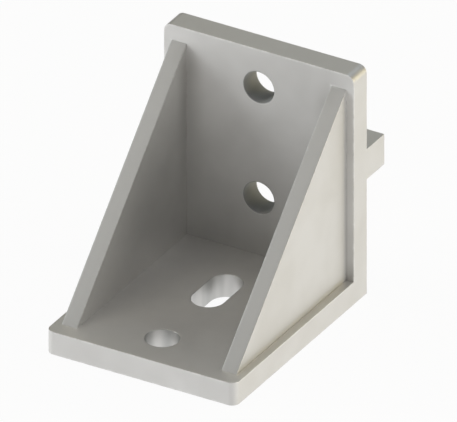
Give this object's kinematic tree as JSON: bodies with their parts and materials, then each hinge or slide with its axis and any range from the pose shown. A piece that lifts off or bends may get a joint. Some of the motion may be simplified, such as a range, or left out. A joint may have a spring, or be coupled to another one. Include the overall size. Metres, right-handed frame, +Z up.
{
  "type": "angle bracket",
  "caption": "Cast right-angle bracket with a gusset along each side, screw holes, an adjusting slot, and a locating rib across the back of its wall.",
  "frame": {"origin": "middle of the heel edge, where the underside of the base meets the plane of the wall's back face", "axes": "+Z up the wall, +Y out of the wall's back face, the base runs towards -Y, X runs along the heel"},
  "size_m": [0.05, 0.068, 0.06],
  "materials": {
    "casting": "matte"
  },
  "bodies": {
    "root": {"bracket": "casting"}
  },
  "joints": []
}
